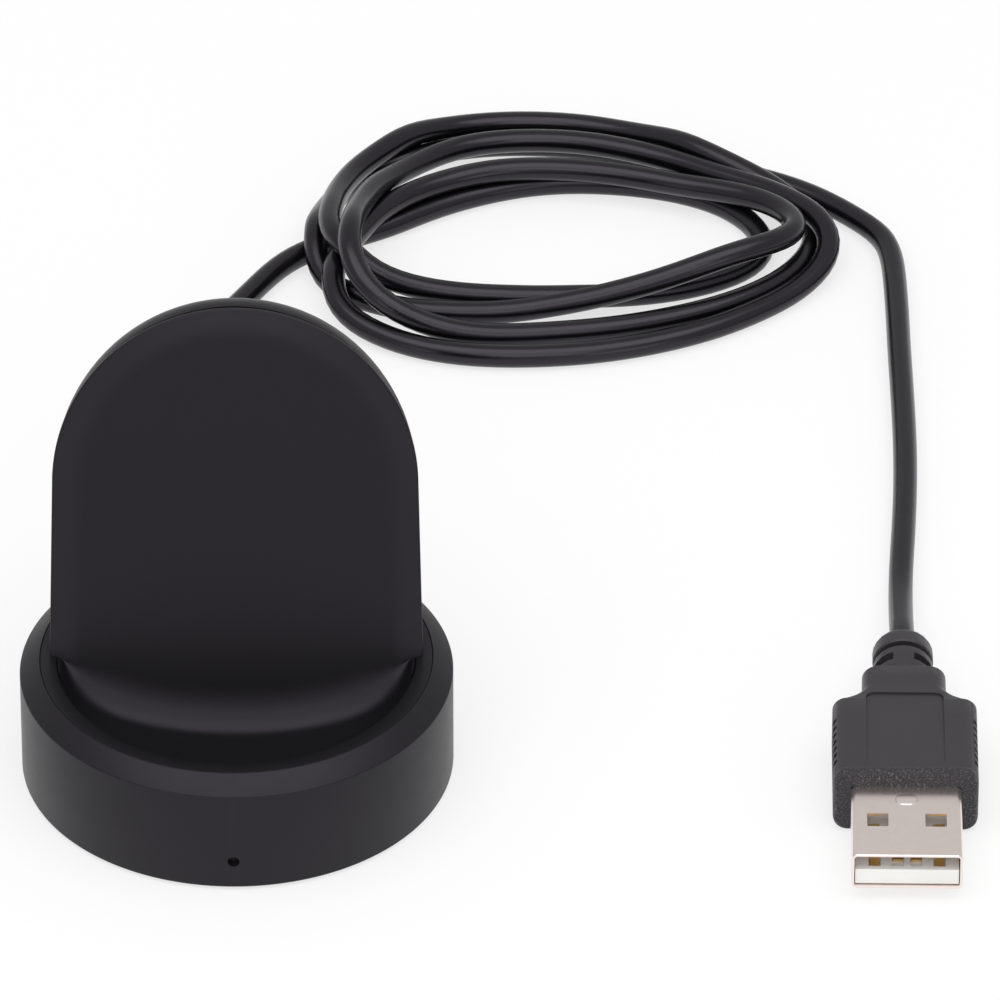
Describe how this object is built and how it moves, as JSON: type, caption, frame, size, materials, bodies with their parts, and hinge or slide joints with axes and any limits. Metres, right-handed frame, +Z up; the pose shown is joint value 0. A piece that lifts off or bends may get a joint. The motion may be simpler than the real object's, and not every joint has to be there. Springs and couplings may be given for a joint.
{
  "type": "smartwatch charging dock",
  "caption": "Round desk dock with a leaning magnetic charging pad, a strap trough in front of it, and a captive lead in a loose coil that ends in a flat plug.",
  "frame": {"origin": "centre of the round base at the underside of its foot pad", "axes": "+Z up, -Y towards the front of the dock where the watch faces, +X to the right"},
  "size_m": [0.1045, 0.1488, 0.0515],
  "materials": {
    "base_plastic": "fine satin moulded black",
    "cradle_plastic": "fine satin moulded black",
    "rear_shell_plastic": "fine satin moulded black",
    "cover_plastic": "moulded black",
    "screw_steel": "zinc plated",
    "foot_rubber": "matt rubber",
    "clear_plastic": "clear moulded",
    "led_resin": "cast resin",
    "board_laminate": "solder resist",
    "chip_resin": "moulded resin",
    "capacitor_ceramic": "fired ceramic",
    "ferrite": "sintered",
    "copper_winding": "enamelled copper",
    "magnet_nickel": "nickel plated",
    "bracket_plastic": "moulded natural",
    "grommet_rubber": "soft moulded",
    "wire_insulation": "thin insulation",
    "cord_jacket": "satin extruded jacket",
    "plug_overmould": "satin soft overmould",
    "plug_steel": "nickel plated sheet",
    "plug_insulation": "moulded white",
    "contact_gold": "gold flashed"
  },
  "bodies": {
    "root": {"base_ring": "base_plastic", "cradle_front": "cradle_plastic", "cradle_back": "rear_shell_plastic", "base_cover": "cover_plastic", "cover_screws": "screw_steel", "foot_pad": "foot_rubber", "light_pipe": "clear_plastic", "status_led": "led_resin", "circuit_board": "board_laminate", "controller_chip": "chip_resin", "drive_transistors": "chip_resin", "resonant_capacitors": "capacitor_ceramic", "filter_inductor": "ferrite", "small_parts": "capacitor_ceramic", "charging_coil": "copper_winding", "ferrite_plate": "ferrite", "alignment_magnet": "magnet_nickel", "coil_bracket": "bracket_plastic", "bracket_screws": "screw_steel", "coil_leads": "copper_winding", "cable_grommet": "grommet_rubber", "cord_wires": "wire_insulation", "cord_lead": "cord_jacket", "cord_coil": "cord_jacket", "cord_tail": "cord_jacket", "plug_body": "plug_overmould", "plug_shell": "plug_steel", "plug_insulator": "plug_insulation", "plug_contacts": "contact_gold"}
  },
  "joints": []
}
